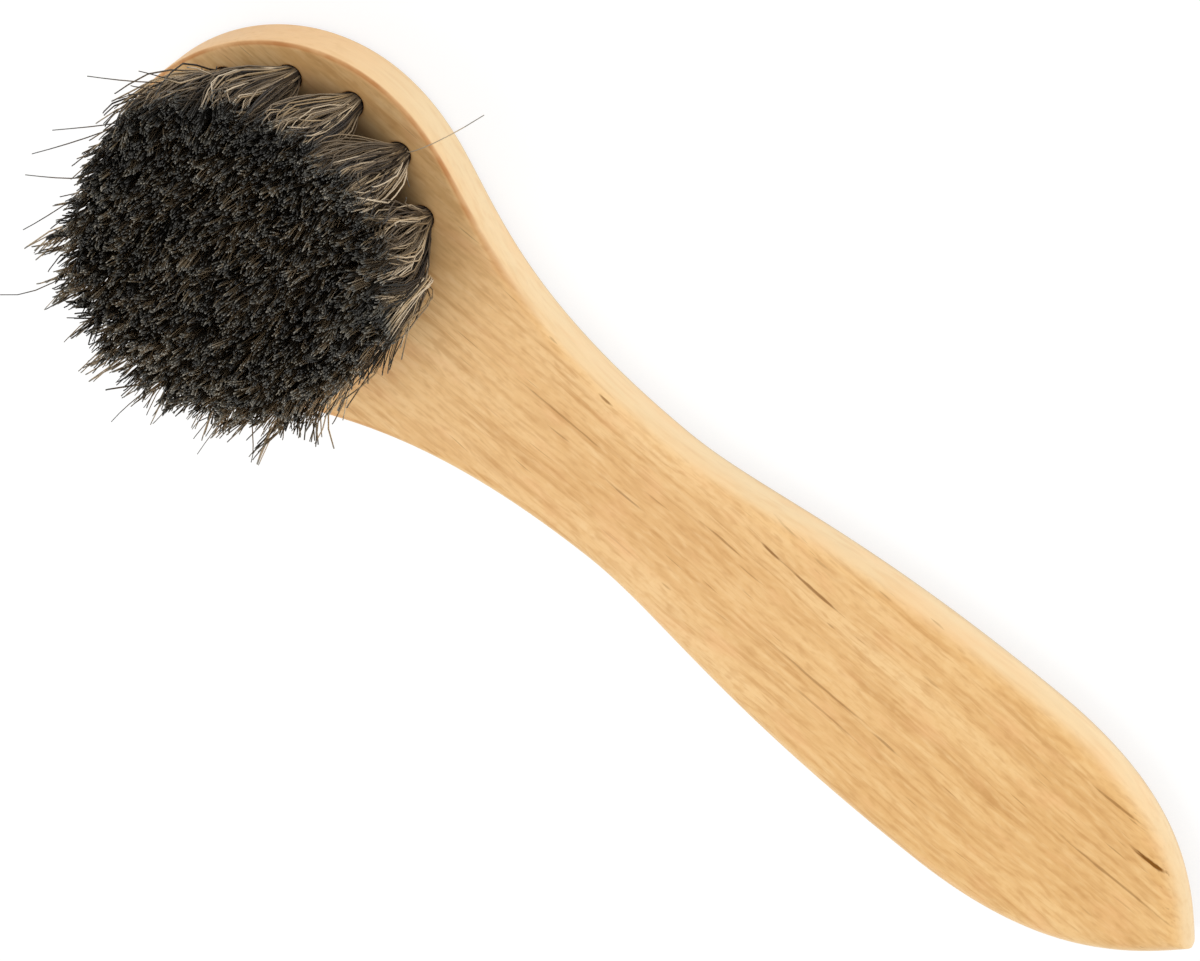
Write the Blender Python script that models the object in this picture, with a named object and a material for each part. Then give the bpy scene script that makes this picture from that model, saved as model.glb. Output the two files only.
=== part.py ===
"""A shoe polish applicator brush: a flat wooden handle whose round head carries drilled-in hair tufts.

Metres, +Z up. The brush lies on its back. +X runs along the handle to its pointed tip, +Z is the way
the bristles point, and the origin is under the middle of the brush, on the surface that it lies on.
Each tuft is a bundle of hair folded over a wire staple and driven into a blind hole of the head.
"""

import random
from collections import namedtuple
from math import cos, pi, radians, sin, tau

import bmesh
import bpy
import numpy as np
from mathutils import Matrix, Vector
from mathutils.geometry import interpolate_bezier

# Wooden handle
LENGTH = 0.1715
THICKNESS = 0.0080
HEAD_DIAMETER = 0.0475
NECK_WIDTH = 0.0207
GRIP_WIDTH = 0.0300
NECK_FROM_HEAD = 0.0572
GRIP_FROM_HEAD = 0.1132
HEAD_ARC_END = radians(86)
TIP_HALF_ANGLE = radians(50)

# Rounding of the long edges, which is crisp round the head and full on the grip
HEAD_EDGE = 0.0008
NECK_EDGE = 0.0024
GRIP_EDGE = 0.0034
HEAD_EDGE_END = 0.012

# How far each Bezier handle of the outline reaches, as a share of its stretch of the handle
HEAD_TO_NECK = (0.28, 0.65)
NECK_TO_GRIP = (0.21, 0.58)
GRIP_TO_TIP = (0.60, 0.26)

# Tufts in rings from the outside in, and the strands in each row of a tuft, from its inner side out
TUFTS_IN_RING = {"outer": 14, "middle": 9, "inner": 4}
STRANDS_IN_ROW = {"outer": (3, 3, 4, 4), "middle": (3, 3, 4, 4), "inner": (1, 3, 4, 6)}

# Holes in the head
HOLE_DIAMETER = 0.0035
HEAD_MARGIN = 0.0028
INNER_RING_RADIUS = 0.0049
RING_START = radians(17)
RING_STAGGER = radians(11)

# Hair
BRISTLE_LENGTH = 0.0190
BRISTLE_FLARE = 0.0005
BUNDLE_PROUD = 0.0006
STRAND_ROOT_RADIUS = 0.00015
STRAND_FILL = 0.40
STRAND_WANDER = 0.0001
KNEE_HEIGHT = 0.0070
KNEE_SPREAD = 0.75

# Wire staples
WIRE_DIAMETER = 0.0005
STAPLE_BEND = 0.0004
STAPLE_BITE = 0.0014
STAPLE_SIDE_ROOM = 0.00025
FOLD_THICKNESS = 0.0010
WOOD_UNDER_STAPLE = 0.0011

# Gap between pieces that touch, and how far a cutter runs past the face that it opens
CLEARANCE = 0.0003
OVERCUT = 0.001

# Facets
ARC_STEPS = 14
CURVE_STEPS = 13
FINE = 8
EDGE_STEPS = 3
HOLE_SIDES = 16
TUFT_SIDES = 10
STRAND_SIDES = 3
STRAND_SINK = 0.0005
ROOT_REACH_SHARE = 0.78

HEAD_RADIUS = HEAD_DIAMETER / 2
HEAD_X = HEAD_RADIUS - LENGTH / 2
HOLE_RADIUS = HOLE_DIAMETER / 2
OUTER_RING_RADIUS = HEAD_RADIUS - HEAD_MARGIN - HOLE_RADIUS
TIP_FIELD_RADIUS = OUTER_RING_RADIUS + HOLE_RADIUS + BRISTLE_FLARE
BUNDLE_RADIUS = HOLE_RADIUS - CLEARANCE
WIRE_RADIUS = WIRE_DIAMETER / 2
HOLE_FLOOR = WOOD_UNDER_STAPLE + CLEARANCE + STAPLE_BITE
HOLE_DEPTH = THICKNESS - HOLE_FLOOR
FOLD_BOTTOM = CLEARANCE - HOLE_DEPTH
STAPLE_TOP = FOLD_BOTTOM + FOLD_THICKNESS + CLEARANCE + WIRE_DIAMETER
STAPLE_HALF_SPAN = HOLE_RADIUS - STAPLE_SIDE_ROOM - CLEARANCE - WIRE_RADIUS
STAPLE_LOW = -HOLE_DEPTH - STAPLE_BITE

Hole = namedtuple("Hole", "name ring angle radius tip_inside tip_outside half_angle")


def clear_scene():
    for obj in list(bpy.data.objects):
        bpy.data.objects.remove(obj, do_unlink=True)


def make_collection(name):
    collection = bpy.data.collections.new(name)
    bpy.context.scene.collection.children.link(collection)
    return collection


def make_material(name, colour, roughness, metallic):
    material = bpy.data.materials.new(name)
    material.use_nodes = True
    shader = material.node_tree.nodes["Principled BSDF"]
    shader.inputs["Base Color"].default_value = (*colour, 1)
    shader.inputs["Roughness"].default_value = roughness
    shader.inputs["Metallic"].default_value = metallic
    return material


def mesh_from(bm, name, material=None):
    mesh = bpy.data.meshes.new(name)
    bmesh.ops.recalc_face_normals(bm, faces=bm.faces)
    bm.to_mesh(mesh)
    bm.free()
    if material:
        mesh.materials.append(material)
    return mesh


def place(name, data, collection, location=(0, 0, 0), parent=None):
    obj = bpy.data.objects.new(name, data)
    obj.location = location
    obj.parent = parent
    collection.objects.link(obj)
    return obj


def add_cutter(name, data, collection, location, parent):
    cutter = place(name, data, collection, location, parent)
    cutter.hide_render = True
    cutter.display_type = "WIRE"
    return cutter


def bezier(start, start_angle, end, end_angle, shares, steps):
    """Points of a curve whose ends run at these angles. Each handle is a share of the way along X."""
    way = end.x - start.x
    leave = start + shares[0] * way * Vector((cos(start_angle), sin(start_angle)))
    arrive = end - shares[1] * way * Vector((cos(end_angle), sin(end_angle)))
    return interpolate_bezier(start, leave, arrive, end, steps + 1)


def side_outline(fine):
    """One side of the outline from above, from the end of the head to the tip, with the head's centre at 0."""
    arc_steps = ARC_STEPS * fine
    turn = (pi - HEAD_ARC_END) / arc_steps
    arc = [Vector((cos(pi - i * turn), sin(pi - i * turn))) * HEAD_RADIUS for i in range(arc_steps)]
    arc_end = Vector((cos(HEAD_ARC_END), sin(HEAD_ARC_END))) * HEAD_RADIUS
    neck = Vector((NECK_FROM_HEAD, NECK_WIDTH / 2))
    grip = Vector((GRIP_FROM_HEAD, GRIP_WIDTH / 2))
    tip = Vector((LENGTH - HEAD_RADIUS, 0))
    steps = CURVE_STEPS * fine
    shoulder = bezier(arc_end, HEAD_ARC_END - pi / 2, neck, 0, HEAD_TO_NECK, steps)
    waist = bezier(neck, 0, grip, 0, NECK_TO_GRIP, steps)
    nose = bezier(grip, 0, tip, -TIP_HALF_ANGLE, GRIP_TO_TIP, steps)
    return np.array([tuple(p) for p in arc + shoulder + waist[1:] + nose[1:]])


def shares_along(line):
    """How far along the line each of its points lies, from 0 to 1."""
    steps = np.hypot(*np.diff(line, axis=0).T)
    run = np.concatenate([[0], np.cumsum(steps)])
    return run / run[-1]


def meet_middle(outside, inside):
    """Where the way between two points crosses the handle's middle line."""
    share = outside[1] / (outside[1] - inside[1])
    return outside + share * (inside - outside)


def edge_rounding(x):
    """The rounding of the handle's long edges at this distance from the head's centre."""
    return np.interp(
        x, (HEAD_EDGE_END, NECK_FROM_HEAD, GRIP_FROM_HEAD), (HEAD_EDGE, NECK_EDGE, GRIP_EDGE)
    )


def inset_side(inset_share):
    """One side of the outline, moved inwards by a share of its edge rounding as far as the middle line."""
    line = side_outline(FINE)
    along = np.gradient(line, axis=0)
    along /= np.hypot(*along.T)[:, None]
    outwards = np.column_stack([-along[:, 1], along[:, 0]])
    moved = line - outwards * (inset_share * edge_rounding(line[:, 0]))[:, None]
    kept = np.flatnonzero(moved[1:-1, 1] > 0) + 1
    first = meet_middle(moved[kept[0] - 1], moved[kept[0]])
    last = meet_middle(moved[kept[-1] + 1], moved[kept[-1]])
    moved = np.vstack([first, moved[kept], last])
    wanted = shares_along(side_outline(1))
    run = shares_along(moved)
    return np.column_stack([np.interp(wanted, run, moved[:, axis]) for axis in (0, 1)])


def handle_rings():
    """Closed rings of points up the handle's edge, from its flat back to its flat face."""
    angles = [pi / 2 * i / EDGE_STEPS for i in range(EDGE_STEPS + 1)]
    for from_back in (True, False):
        for angle in reversed(angles) if from_back else angles:
            side = inset_side(1 - cos(angle))
            depth = edge_rounding(side[:, 0]) * (1 - sin(angle))
            height = depth if from_back else THICKNESS - depth
            points = [Vector((x, y, z)) for (x, y), z in zip(side, height)]
            mirrored = [Vector((p.x, -p.y, p.z)) for p in reversed(points[1:-1])]
            yield points + mirrored


def loft(bm, rings):
    """A closed body through rings of points, each with as many as the first, with flat ends."""
    rings = [[bm.verts.new(point) for point in ring] for ring in rings]
    for low, high in zip(rings, rings[1:]):
        for i in range(len(low)):
            bm.faces.new((low[i - 1], low[i], high[i], high[i - 1]))
    bm.faces.new(rings[0])
    bm.faces.new(rings[-1])


def handle_mesh(material):
    """The board before its holes are drilled."""
    bm = bmesh.new()
    loft(bm, handle_rings())
    return mesh_from(bm, "handle", material)


def add_cylinder(bm, radius, low, high, sides):
    middle = Matrix.Translation((0, 0, (low + high) / 2))
    bmesh.ops.create_cone(
        bm, cap_ends=True, segments=sides, radius1=radius, radius2=radius, depth=high - low, matrix=middle
    )


def bore_mesh():
    bm = bmesh.new()
    add_cylinder(bm, HOLE_RADIUS, -HOLE_DEPTH, OVERCUT, HOLE_SIDES)
    return mesh_from(bm, "bore")


def staple_room_mesh():
    """A U-shaped block: the staple with its clearance all round, which the wood and the fold give way to."""
    grown = WIRE_RADIUS + CLEARANCE
    outside = STAPLE_HALF_SPAN + grown
    inside = STAPLE_HALF_SPAN - grown
    top = STAPLE_TOP + CLEARANCE
    under_crown = top - 2 * grown
    low = STAPLE_LOW - CLEARANCE
    half = [(inside, under_crown), (inside, low), (outside, low), (outside, top)]
    profile = half + [(-y, z) for y, z in reversed(half)]
    bm = bmesh.new()
    loft(bm, [[Vector((x, y, z)) for y, z in profile] for x in (-grown, grown)])
    return mesh_from(bm, "staple_room")


def staple_curve(material):
    """One bent wire: a crown across the fold and two legs that bite into the wood."""
    curve = bpy.data.curves.new("staple", "CURVE")
    curve.dimensions = "3D"
    curve.bevel_depth = WIRE_RADIUS
    curve.bevel_resolution = 1
    curve.use_fill_caps = True
    crown = STAPLE_TOP - WIRE_RADIUS
    half = [
        (0, STAPLE_HALF_SPAN, STAPLE_LOW),
        (0, STAPLE_HALF_SPAN, crown - STAPLE_BEND),
        (0, STAPLE_HALF_SPAN - STAPLE_BEND, crown),
    ]
    points = half + [(x, -y, z) for x, y, z in reversed(half)]
    spline = curve.splines.new("POLY")
    spline.points.add(len(points) - 1)
    for point, where in zip(spline.points, points):
        point.co = (*where, 1)
    curve.materials.append(material)
    return curve


def holes():
    """Every hole of the head, with the cell of the trimmed face that its hair fills."""
    counts = list(TUFTS_IN_RING.values())
    ring_step = (OUTER_RING_RADIUS - INNER_RING_RADIUS) / (len(counts) - 1)
    for ring, (ring_name, count) in enumerate(TUFTS_IN_RING.items()):
        tufts_inside = sum(counts[ring + 1:])
        tip_inside = TIP_FIELD_RADIUS * (tufts_inside / sum(counts)) ** 0.5
        tip_outside = TIP_FIELD_RADIUS * ((tufts_inside + count) / sum(counts)) ** 0.5
        for i in range(count):
            yield Hole(
                name=f"{ring_name}_{i + 1:02d}",
                ring=ring_name,
                angle=RING_START + ring * RING_STAGGER + tau * i / count,
                radius=OUTER_RING_RADIUS - ring * ring_step,
                tip_inside=tip_inside,
                tip_outside=tip_outside,
                half_angle=pi / count,
            )


def polar(radius, angle, height=0.0):
    return Vector((radius * cos(angle), radius * sin(angle), height))


def strand_paths(hole, rng):
    """The root, knee and cut end of each strand of a tuft, each with its radius, from its hole's mouth."""
    rows = STRANDS_IN_ROW[hole.ring]
    row_step = (hole.tip_outside - hole.tip_inside) / len(rows)
    root_reach = (BUNDLE_RADIUS - STRAND_ROOT_RADIUS) * ROOT_REACH_SHARE
    turn = Matrix.Rotation(hole.angle, 3, "Z")
    for row, count in enumerate(rows):
        row_radius = hole.tip_inside + (row + 0.5) * row_step
        place_step = 2 * hole.half_angle * row_radius / count
        end_radius = STRAND_FILL * min(row_step, place_step)
        outwards = 2 * (row + 0.5) / len(rows) - 1
        for i in range(count):
            round_head = 2 * (i + 0.5) / count - 1
            root = turn @ Vector((outwards, round_head, 0)) * root_reach
            tip = polar(row_radius, hole.angle + round_head * hole.half_angle)
            tip -= polar(hole.radius, hole.angle)
            tip += polar(STRAND_WANDER * rng.random(), rng.uniform(0, tau))
            knee = root.lerp(tip, KNEE_SPREAD)
            knee_radius = STRAND_ROOT_RADIUS + (end_radius - STRAND_ROOT_RADIUS) * KNEE_SPREAD
            root.z = BUNDLE_PROUD - STRAND_SINK
            knee.z = KNEE_HEIGHT
            tip.z = BRISTLE_LENGTH
            yield (root, STRAND_ROOT_RADIUS), (knee, knee_radius), (tip, end_radius)


def strand_rings(path, turn):
    """Level cross-sections of a strand, all turned alike."""
    for centre, radius in path:
        yield [centre + polar(radius, turn + tau * i / STRAND_SIDES) for i in range(STRAND_SIDES)]


def tuft_mesh(hole, material, rng):
    """The folded bundle that fills the hole, and the strands that stand out of it."""
    bm = bmesh.new()
    add_cylinder(bm, BUNDLE_RADIUS, FOLD_BOTTOM, BUNDLE_PROUD, TUFT_SIDES)
    for path in strand_paths(hole, rng):
        loft(bm, strand_rings(path, rng.uniform(0, tau)))
    return mesh_from(bm, f"tuft_{hole.name}", material)


def cut(obj, name, cutter):
    """Takes a cutter, or all the cutters of a collection, out of the object."""
    boolean = obj.modifiers.new(name, "BOOLEAN")
    boolean.operation = "DIFFERENCE"
    boolean.solver = "EXACT"
    if isinstance(cutter, bpy.types.Collection):
        boolean.operand_type = "COLLECTION"
        boolean.collection = cutter
    else:
        boolean.object = cutter
    return boolean


def main():
    clear_scene()
    brush = make_collection("shoe_polish_applicator_brush")
    bores = make_collection("bores")
    staple_rooms = make_collection("staple_rooms")
    beech = make_material("beech", (0.81, 0.52, 0.23), 0.5, 0)
    hair = make_material("hair", (0.026, 0.019, 0.014), 0.6, 0)
    steel = make_material("steel_wire", (0.6, 0.6, 0.58), 0.35, 1)
    head_centre = (HEAD_X, 0, 0)
    face_centre = place("face_centre", None, brush, location=(HEAD_X, 0, THICKNESS))

    handle = place("handle", handle_mesh(beech), brush, location=head_centre)
    handle.data.shade_smooth()
    handle.data.set_sharp_from_angle(angle=radians(40))
    bore = bore_mesh()
    staple_room = staple_room_mesh()
    staple = staple_curve(steel)
    rng = random.Random(3)
    for hole in holes():
        mouth = polar(hole.radius, hole.angle)
        add_cutter(f"bore_{hole.name}", bore, bores, mouth, face_centre)
        room = add_cutter(f"room_{hole.name}", staple_room, staple_rooms, mouth, face_centre)
        tuft = place(f"tuft_{hole.name}", tuft_mesh(hole, hair, rng), brush, mouth, face_centre)
        cut(tuft, "room for the staple", room).use_self = True
        place(f"staple_{hole.name}", staple, brush, mouth, face_centre)
    cut(handle, "bores", bores)
    cut(handle, "staple legs", staple_rooms)


main()
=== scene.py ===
"""Looks for a shoe polish applicator brush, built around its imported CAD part.

Metres, +Z up, in the part's own frame: the brush lies on its back, +X runs along the handle to its
pointed tip and the hair stands up. The wood is remade with fine edges and drilled holes. Each tuft is
remade hair by hair, every hair folded in half under its staple. The staples are the CAD part's own.
"""

from collections import namedtuple
from math import atan2, cos, pi, radians, sin, sqrt, tau

import bmesh
import bpy
import numpy as np
from mathutils import Matrix, Vector
from mathutils.geometry import interpolate_bezier


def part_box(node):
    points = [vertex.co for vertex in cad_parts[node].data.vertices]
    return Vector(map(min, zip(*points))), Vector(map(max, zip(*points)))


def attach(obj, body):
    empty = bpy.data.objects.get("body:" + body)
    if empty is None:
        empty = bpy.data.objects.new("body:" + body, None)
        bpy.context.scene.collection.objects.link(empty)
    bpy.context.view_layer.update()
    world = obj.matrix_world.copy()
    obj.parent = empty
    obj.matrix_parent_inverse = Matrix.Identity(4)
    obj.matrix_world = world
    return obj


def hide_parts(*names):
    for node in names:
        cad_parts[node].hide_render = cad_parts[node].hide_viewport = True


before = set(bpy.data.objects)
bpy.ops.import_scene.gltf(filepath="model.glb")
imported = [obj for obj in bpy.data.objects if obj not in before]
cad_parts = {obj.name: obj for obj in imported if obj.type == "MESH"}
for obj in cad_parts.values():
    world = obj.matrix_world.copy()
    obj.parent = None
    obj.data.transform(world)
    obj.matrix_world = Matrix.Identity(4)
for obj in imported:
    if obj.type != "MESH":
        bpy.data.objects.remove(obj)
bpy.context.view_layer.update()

MM = 0.001

# Wooden handle
HANDLE_LOW, HANDLE_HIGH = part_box("handle")
LENGTH = HANDLE_HIGH.x - HANDLE_LOW.x
THICKNESS = HANDLE_HIGH.z
HEAD_DIAMETER = 0.0475
NECK_WIDTH = 0.0207
GRIP_WIDTH = 0.0300
NECK_FROM_HEAD = 0.0572
GRIP_FROM_HEAD = 0.1132
HEAD_ARC_END = radians(86)
TIP_HALF_ANGLE = radians(50)
HEAD_RADIUS = HEAD_DIAMETER / 2
HEAD_X = HANDLE_LOW.x + HEAD_RADIUS

# Rounding of the long edges, which is crisp round the head and full on the grip
HEAD_EDGE = 0.0008
NECK_EDGE = 0.0024
GRIP_EDGE = 0.0034
HEAD_EDGE_END = 0.012

# How far each Bezier handle of the outline reaches, as a share of its stretch of the handle
HEAD_TO_NECK = (0.28, 0.65)
NECK_TO_GRIP = (0.21, 0.58)
GRIP_TO_TIP = (0.60, 0.26)

# Points along the handle and up its edges
ARC_STEPS = 48
CURVE_STEPS = 44
FINE = 6
EDGE_STEPS = 8

# The flat border of the face, the back and the holes' mouths, and the turn from which an edge is sharp
FLAT_RIM = 0.0003
SHARP_EDGE = radians(50)

# Drilled holes, and how far down the rounding of their mouths one ring of points lies
HOLE_RADIUS = 0.00175
HOLE_DEPTH = 0.0052
MOUTH_EDGE = 0.00012
MOUTH_EDGE_STEP = 0.3
HOLE_SIDES = 48

# Camera
CAMERA_TILT = radians(27.82)
CAMERA_YAW = radians(-0.18)
CAMERA_ROLL = radians(38.96)
CAMERA_DISTANCE = 0.600
CAMERA_LENS = 141.0
SENSOR_WIDTH = 36.0
PHOTO_WIDTH, PHOTO_HEIGHT = 1200, 961
HEAD_PIXEL = (299.7, 202.2)


def place(name, data):
    obj = bpy.data.objects.new(name, data)
    bpy.context.scene.collection.objects.link(obj)
    return obj


# The values between which most of a noise lies
NOISE_SPAN = (0.3, 0.7)


class Nodes:
    """Adds and links the shader nodes of one material or world."""

    def __init__(self, tree):
        self.tree = tree
        self.tree.nodes.clear()

    def add(self, kind, settings=None, **inputs):
        """A new node. An input is a value or another node's output; a name's spaces are underscores."""
        node = self.tree.nodes.new(kind)
        for name, value in (settings or {}).items():
            setattr(node, name, value)
        for name, value in inputs.items():
            self.feed(node.inputs[name.replace("_", " ")], value)
        return node

    def feed(self, socket, value):
        if isinstance(value, bpy.types.NodeSocket):
            self.tree.links.new(value, socket)
        else:
            socket.default_value = value

    def operate(self, kind, operation, first, second):
        node = self.add(kind, {"operation": operation})
        self.feed(node.inputs[0], first)
        self.feed(node.inputs[1], second)
        return node.outputs

    def math(self, operation, first, second=0.0):
        return self.operate("ShaderNodeMath", operation, first, second)[0]

    def times(self, first, second):
        return self.math("MULTIPLY", first, second)

    def vector_math(self, operation, first, second=(0, 0, 0)):
        return self.operate("ShaderNodeVectorMath", operation, first, second)

    def remap(self, value, low, high, new_low=0.0, new_high=1.0, smooth=False):
        """Takes low..high to new_low..new_high, and holds it there beyond."""
        kind = {"interpolation_type": "SMOOTHSTEP" if smooth else "LINEAR"}
        limits = {"From_Min": low, "From_Max": high, "To_Min": new_low, "To_Max": new_high}
        return self.add("ShaderNodeMapRange", kind, Value=value, **limits).outputs["Result"]

    def ramp(self, value, stops):
        """A colour read off a scale of (place, colour) stops."""
        node = self.add("ShaderNodeValToRGB", Fac=value)
        elements = node.color_ramp.elements
        for _ in stops[len(elements):]:
            elements.new(0.5)
        for element, (where, colour) in zip(elements, stops):
            element.position = where
            element.color = (*colour, 1)
        return node.outputs["Color"]

    def mix(self, share, first, second, blend="MIX"):
        node = self.add("ShaderNodeMix", {"data_type": "RGBA", "blend_type": blend})
        self.feed(node.inputs[0], share)
        for socket, colour in ((node.inputs[6], first), (node.inputs[7], second)):
            self.feed(socket, (*colour, 1) if isinstance(colour, tuple) else colour)
        return node.outputs[2]

    def noise(self, vector, detail, roughness=0.5):
        """Noise whose spots are about one unit of its vector wide."""
        node = self.add("ShaderNodeTexNoise", Vector=vector, Scale=1.0, Detail=detail, Roughness=roughness)
        return node.outputs["Fac"]

    def mapped(self, vector, centre, turn, sizes):
        """Coordinates from this centre, whose units are these sizes in millimetres."""
        spot = {"Location": centre, "Rotation": (0, 0, turn), "Scale": [size * MM for size in sizes]}
        return self.add("ShaderNodeMapping", {"vector_type": "TEXTURE"}, Vector=vector, **spot).outputs[0]

    def stretched(self, vector, along, across, turn=0.0):
        """Coordinates in which one unit is this many millimetres along the grain and across it."""
        return self.mapped(vector, (0, 0, 0), turn, (along, across, across))

    def principled(self, **inputs):
        self.finish(self.add("ShaderNodeBsdfPrincipled", **inputs))

    def finish(self, shader):
        self.add("ShaderNodeOutputMaterial", Surface=shader.outputs[0])


def new_material(name):
    material = bpy.data.materials.new(name)
    material.use_nodes = True
    return material, Nodes(material.node_tree)


# Wood

GRAIN_TURN = radians(-2)
BEECH = (0.835, 0.526, 0.235)
BEECH_DEEP = (0.745, 0.436, 0.174)
BEECH_PALE = (0.895, 0.607, 0.304)
BEECH_ROSY = (0.87, 0.49, 0.235)
# Painted light: the paler colour of the sides
BEECH_SIDE_PAINTED_LIGHT = (0.96, 0.76, 0.475)
BEECH_END = (0.99, 0.65, 0.34)
GRAIN_BROWN = (0.56, 0.285, 0.095)
FLECK_BROWN = (0.205, 0.072, 0.001)
# Painted shadow along the head's edges
EDGE_SHADOW_BROWN = (0.50, 0.19, 0.05)
# Painted shadow on the wood among the tufts, and its deepest part
SHADOW_AMONG_TUFTS = (0.10, 0.062, 0.032)
DEEP_SHADOW_AMONG_TUFTS = (0.016, 0.012, 0.009)
GRIP_TINT = (1.0, 0.988, 0.925)
# Painted shade on the edges that face down
LOWER_EDGE_SHADE = (0.34, 0.27, 0.19)
WOOD_SPECULAR = 0.22

# How far the grain wanders sideways, over this many millimetres along it and across it
GRAIN_WANDER = 0.9 * MM
WANDER_SIZE = (30, 6)

# Noises in the wood: millimetres along the grain and across it, detail and roughness. The first table's
# follow the wandering grain.
GRAIN_LAYERS = {
    "broad": (45, 5.5, 3, 0.5),
    "lines": (24, 1.25, 3, 0.60),
    "fibres": (8, 0.90, 1, 0.5),
    "pores": (2.2, 0.62, 1, 0.5),
    "hairlines": (3.0, 0.30, 1, 0.5),
    "thin_streaks": (7.5, 0.42, 1, 0.5),
}
SPOT_LAYERS = {
    "mottle": (0.95, 0.70, 1, 0.5),
    "blotches": (9, 4, 2, 0.5),
    "patches": (5, 5, 3, 0.5),
}

# The colours of the broad bands of the grain
BROAD_STOPS = ((0.3, BEECH_DEEP), (0.5, BEECH), (0.75, BEECH_PALE))

# What a noise does to the wood: from one value to another, up to this share of a colour is mixed in
FACE_COATS = (
    ("lines", 0.50, 0.75, 0.34, GRAIN_BROWN),
    ("lines", 0.585, 0.625, 0.32, GRAIN_BROWN),
    ("fibres", 0.52, 0.68, 0.27, GRAIN_BROWN),
    ("fibres", 0.46, 0.28, 0.42, BEECH_PALE),
    ("hairlines", 0.55, 0.72, 0.26, GRAIN_BROWN),
    ("pores", 0.54, 0.72, 0.40, GRAIN_BROWN),
    ("pores", 0.46, 0.28, 0.36, BEECH_PALE),
    ("mottle", 0.50, 0.75, 0.40, BEECH_DEEP),
    ("blotches", 0.55, 0.75, 0.40, BEECH_ROSY),
    ("thin_streaks", 0.70, 0.79, 0.42, FLECK_BROWN),
)
SIDE_COATS = (
    ("fibres", 0.50, 0.70, 0.25, BEECH),
    ("blotches", 0.45, 0.70, 0.30, BEECH_END),
)

# Distances from the head's centre along the handle, at which a colour starts and is full
GRIP_TINT_REACH = (0.062, 0.115)
END_GRAIN_REACH = (0.008, -0.016)
EDGE_SHADOW_REACH = (0.035, 0.012)

# Distances from the middle of the head's face, over which a painted shadow darkens the wood among the tufts
SHADOW_AMONG_TUFTS_REACH = (0.0219, 0.0166)
DEEP_SHADOW_AMONG_TUFTS_REACH = (0.0170, 0.0145)
SHADOW_AMONG_TUFTS_SHARE = 0.85

# How far up or down the surface faces where the side's colour starts and is full; its paleness is painted
# light
SIDE_FACING = (0.97, 0.45)
SIDE_SHARE = 0.82
SIDE_PALE_HEIGHTS = (0.004, 0.008)
SIDE_PALE_SHARE = 0.6

# The Z of the normal at which painted shade on the lower edge starts and is darkest, and where the back is
# left out
LOWER_EDGE_FACING = (-0.05, -0.45)
BACK_FACING = (-0.95, -0.60)
LOWER_EDGE_SHARE = 0.5

# Painted shadow, a thin brown line along the head's edges: how far up or down they face, and how patchy it
# is
EDGE_FACING_UP = (0.995, 0.90)
EDGE_FACING_OUT = (0.30, 0.60)
EDGE_PATCHES = (0.35, 0.65)
EDGE_LEAST = 0.35
EDGE_SHARE = 0.85

# Roughness between a weak and a strong line of the grain, and the relief of lines, pores and streaks
GRAIN_ROUGHNESS = (0.42, 0.56)
LINES_RELIEF = 0.6
PORES_RELIEF = -0.5
STREAK_RELIEF = 0.35
BUMP_STRENGTH = 0.35
BUMP_HEIGHT = 0.05 * MM

# Dark streaks that stand out on the face: from the head's centre, to the side, length and width in
# millimetres, and strength
STREAKS = (
    (43.5, 3.7, 13.1, 0.34, 0.45),
    (46.3, 9.7, 2.4, 0.42, 0.70),
    (55.8, 0.5, 6.0, 0.38, 0.52),
    (68.8, 4.4, 7.2, 0.38, 0.50),
    (74.4, 7.8, 3.6, 0.50, 0.76),
    (81.8, 7.5, 8.6, 0.46, 0.70),
    (79.5, 7.6, 13.0, 0.30, 0.40),
    (73.8, 11.3, 5.4, 0.32, 0.35),
    (80.5, 10.7, 3.0, 0.34, 0.30),
    (58.9, -5.3, 8.2, 0.30, 0.20),
    (67.2, -5.7, 1.8, 0.34, 0.34),
    (89.6, -2.9, 16.5, 0.42, 0.46),
    (92.2, -5.7, 14.5, 0.36, 0.34),
    (101.5, -3.7, 4.6, 0.42, 0.48),
    (96.1, 13.7, 3.2, 0.36, 0.52),
    (100.5, 7.5, 2.8, 0.36, 0.25),
    (86.2, 4.8, 1.6, 0.40, 0.42),
    (128.1, 10.5, 7.4, 0.44, 0.55),
    (136.0, 7.1, 6.2, 0.66, 1.00),
    (134.3, 2.0, 19.0, 0.40, 0.48),
    (137.2, 0.0, 4.6, 0.36, 0.22),
)
STREAK_DEPTH = 1.6
STREAK_REACH = 0.56
STREAK_CORE = 0.5

# How far a streak's edge wanders, as a share of its reach, and the millimetres over which it does
STREAK_WANDER = 0.28
STREAK_WANDER_SIZE = (2.4, 0.30)
STREAK_WANDER_SPAN = (0.25, 0.75)


def streaks_mask(nodes, position):
    """How strongly each point lies in one of the face's dark streaks, whose edges are ragged."""
    ragged = nodes.noise(nodes.stretched(position, *STREAK_WANDER_SIZE, GRAIN_TURN), detail=2)
    ragged = nodes.remap(ragged, *STREAK_WANDER_SPAN, -STREAK_WANDER, STREAK_WANDER)
    total = 0.0
    for x, y, length, width, strength in STREAKS:
        centre = (HEAD_X + x * MM, y * MM, THICKNESS)
        reach = (length * STREAK_REACH, width * STREAK_REACH, STREAK_DEPTH)
        away = nodes.vector_math("LENGTH", nodes.mapped(position, centre, GRAIN_TURN, reach))["Value"]
        inside = nodes.remap(nodes.math("ADD", away, ragged), 1.0, STREAK_CORE, 0.0, strength)
        total = nodes.math("MAXIMUM", inside, total)
    return total


def wandering_grain(nodes, position):
    """The place in the wood, moved sideways so that the grain wanders."""
    wander = nodes.noise(nodes.stretched(position, *WANDER_SIZE), detail=2)
    shift = nodes.add("ShaderNodeCombineXYZ", Y=nodes.remap(wander, 0, 1, -GRAIN_WANDER, GRAIN_WANDER))
    return nodes.vector_math("ADD", position, shift.outputs[0])["Vector"]


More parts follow.
